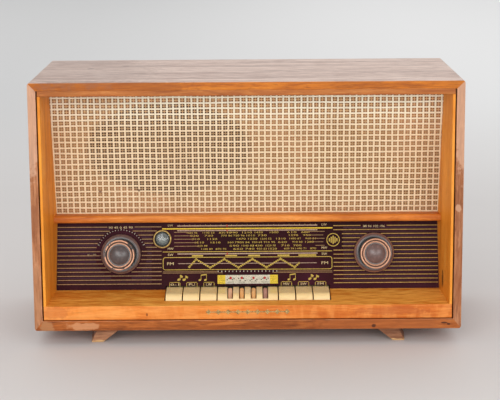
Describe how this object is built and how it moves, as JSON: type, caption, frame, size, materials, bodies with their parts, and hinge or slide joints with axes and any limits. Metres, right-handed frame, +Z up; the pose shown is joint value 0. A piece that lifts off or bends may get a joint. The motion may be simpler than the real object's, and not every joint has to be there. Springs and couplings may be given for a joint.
{
  "type": "tabletop radio",
  "caption": "Valve table radio in a wooden cabinet with woven speaker front, glass dial, knobs, piano keys, thumbwheels and a slatted back over its chassis.",
  "frame": {"origin": "on the surface it stands on, under the middle of the cabinet", "axes": "+X to the right as seen from the front, +Y to the back, +Z up"},
  "size_m": [0.635, 0.28, 0.394],
  "materials": {
    "walnut": "satin lacquer over figured veneer",
    "maple": "golden satin lacquer",
    "plywood": "raw, brown stained",
    "grille_cloth": "coarse open weave",
    "dial_glass": "glossy, painted behind",
    "brass": "polished, worn",
    "knob_plastic": "polished dark brown",
    "ivory_plastic": "polished, aged ivory",
    "wheel_plastic": "ribbed",
    "steel": "zinc plated",
    "dial_metal": "matt paint",
    "pointer_paint": "red paint",
    "eye_glass": "green-grey fluorescent coating",
    "cone_paper": "pressed black pulp",
    "basket_paint": "grey paint",
    "magnet_iron": "dull",
    "core_iron": "varnished laminations",
    "valve_glass": "clear with silvered getter",
    "phenolic": "brown phenolic",
    "hardboard": "pressed brown board",
    "rubber": "matt",
    "ferrite": "dull dark grey",
    "aluminium": "plain"
  },
  "bodies": {
    "cabinet": {"cabinet_top": "walnut", "cabinet_bottom": "walnut", "cabinet_side_left": "walnut", "cabinet_side_right": "walnut", "foot_front_left": "walnut", "foot_front_right": "walnut", "foot_rear_left": "walnut", "foot_rear_right": "walnut", "trim_top": "maple", "flank_left": "maple", "flank_right": "maple", "front_sill": "maple", "centre_rail": "maple", "baffle_board": "plywood", "speaker_cloth": "grille_cloth", "speaker_basket": "basket_paint", "speaker_cone": "cone_paper", "speaker_magnet": "magnet_iron", "dial_glass": "dial_glass", "dial_backplate": "dial_metal", "pointer_rail": "steel", "magic_eye_tube": "eye_glass", "magic_eye_bezel": "brass", "sill_ornament": "brass", "key_block": "ivory_plastic", "key_rod": "steel", "volume_control": "phenolic", "capacitor_frame": "aluminium", "chassis_deck": "steel", "chassis_front": "steel", "chassis_rear": "steel", "mains_transformer": "core_iron", "output_transformer": "core_iron", "valves": "valve_glass", "back_panel": "hardboard", "panel_screws": "steel", "socket_strip": "phenolic", "mains_gland": "rubber"},
    "volume": {"volume_knob": "knob_plastic", "volume_knob_trim": "brass", "volume_shaft": "steel"},
    "antenna_dial": {"antenna_ring": "knob_plastic"},
    "tuning": {"tuning_knob": "knob_plastic", "tuning_knob_trim": "brass", "tuning_shaft": "steel"},
    "pointer": {"dial_pointer": "pointer_paint"},
    "drum": {"tuning_drum": "phenolic", "capacitor_rotor": "aluminium"},
    "ferrite": {"ferrite_holder": "phenolic", "ferrite_rod": "ferrite"},
    "key_1": {"key_1": "ivory_plastic"},
    "key_2": {"key_2": "ivory_plastic"},
    "key_3": {"key_3": "ivory_plastic"},
    "key_4": {"key_4": "ivory_plastic"},
    "key_5": {"key_5": "ivory_plastic"},
    "key_6": {"key_6": "ivory_plastic"},
    "tone_wheel_1": {"tone_wheel_1": "wheel_plastic"},
    "tone_wheel_2": {"tone_wheel_2": "wheel_plastic"},
    "tone_wheel_3": {"tone_wheel_3": "wheel_plastic"},
    "tone_wheel_4": {"tone_wheel_4": "wheel_plastic"}
  },
  "joints": [
    {"name": "volume_turn", "type": "hinge", "parent": "cabinet", "child": "volume", "pos_m": [-0.193, -0.06164, 0.12001], "axis": [0, 0.9821, -0.1884], "range_deg": [-135, 135]},
    {"name": "antenna_turn", "type": "hinge", "parent": "cabinet", "child": "antenna_dial", "pos_m": [-0.193, -0.06164, 0.12001], "axis": [0, 0.9821, -0.1884], "range_deg": [-100, 100]},
    {"name": "ferrite_turn", "type": "hinge", "parent": "cabinet", "child": "ferrite", "pos_m": [-0.15, 0.056, 0.122], "axis": [0, 0, 1], "range_deg": [-60, 60]},
    {"name": "tuning_turn", "type": "hinge", "parent": "cabinet", "child": "tuning", "pos_m": [0.193, -0.06164, 0.12001], "axis": [0, 0.9821, -0.1884], "range_deg": [-656, 1302]},
    {"name": "pointer_slide", "type": "slide", "parent": "cabinet", "child": "pointer", "axis": [1, 0, 0], "range_m": [-0.063, 0.125]},
    {"name": "drum_turn", "type": "hinge", "parent": "cabinet", "child": "drum", "pos_m": [0.095, -0.011, 0.114], "axis": [0, 1, 0], "range_deg": [-60.5, 119.6]},
    {"name": "key_1_press", "type": "hinge", "parent": "cabinet", "child": "key_1", "pos_m": [0, -0.018, 0.065], "axis": [1, 0, 0], "range_deg": [0, 4.2], "stiffness_Nm_per_rad": 2, "springref_deg": -3.44},
    {"name": "key_2_press", "type": "hinge", "parent": "cabinet", "child": "key_2", "pos_m": [0, -0.018, 0.065], "axis": [1, 0, 0], "range_deg": [0, 4.2], "stiffness_Nm_per_rad": 2, "springref_deg": -3.44},
    {"name": "key_3_press", "type": "hinge", "parent": "cabinet", "child": "key_3", "pos_m": [0, -0.018, 0.065], "axis": [1, 0, 0], "range_deg": [0, 4.2], "stiffness_Nm_per_rad": 2, "springref_deg": -3.44},
    {"name": "key_4_press", "type": "hinge", "parent": "cabinet", "child": "key_4", "pos_m": [0, -0.018, 0.065], "axis": [1, 0, 0], "range_deg": [0, 4.2], "stiffness_Nm_per_rad": 2, "springref_deg": -3.44},
    {"name": "key_5_press", "type": "hinge", "parent": "cabinet", "child": "key_5", "pos_m": [0, -0.018, 0.065], "axis": [1, 0, 0], "range_deg": [0, 4.2], "stiffness_Nm_per_rad": 2, "springref_deg": -3.44},
    {"name": "key_6_press", "type": "hinge", "parent": "cabinet", "child": "key_6", "pos_m": [0, -0.018, 0.065], "axis": [1, 0, 0], "range_deg": [0, 4.2], "stiffness_Nm_per_rad": 2, "springref_deg": -3.44},
    {"name": "tone_1_turn", "type": "hinge", "parent": "cabinet", "child": "tone_wheel_1", "pos_m": [-0.02655, -0.0915, 0.056], "axis": [1, 0, 0], "range_deg": [-135, 135]},
    {"name": "tone_2_turn", "type": "hinge", "parent": "cabinet", "child": "tone_wheel_2", "pos_m": [-0.00885, -0.0915, 0.056], "axis": [1, 0, 0], "range_deg": [-135, 135]},
    {"name": "tone_3_turn", "type": "hinge", "parent": "cabinet", "child": "tone_wheel_3", "pos_m": [0.00885, -0.0915, 0.056], "axis": [1, 0, 0], "range_deg": [-135, 135]},
    {"name": "tone_4_turn", "type": "hinge", "parent": "cabinet", "child": "tone_wheel_4", "pos_m": [0.02655, -0.0915, 0.056], "axis": [1, 0, 0], "range_deg": [-135, 135]}
  ],
  "couplings": [
    {"joint": "ferrite_turn", "follows": "antenna_turn", "ratio": -0.6},
    {"joint": "pointer_slide", "follows": "tuning_turn", "m_per_rad": 0.0055},
    {"joint": "drum_turn", "follows": "tuning_turn", "ratio": 0.091667}
  ]
}
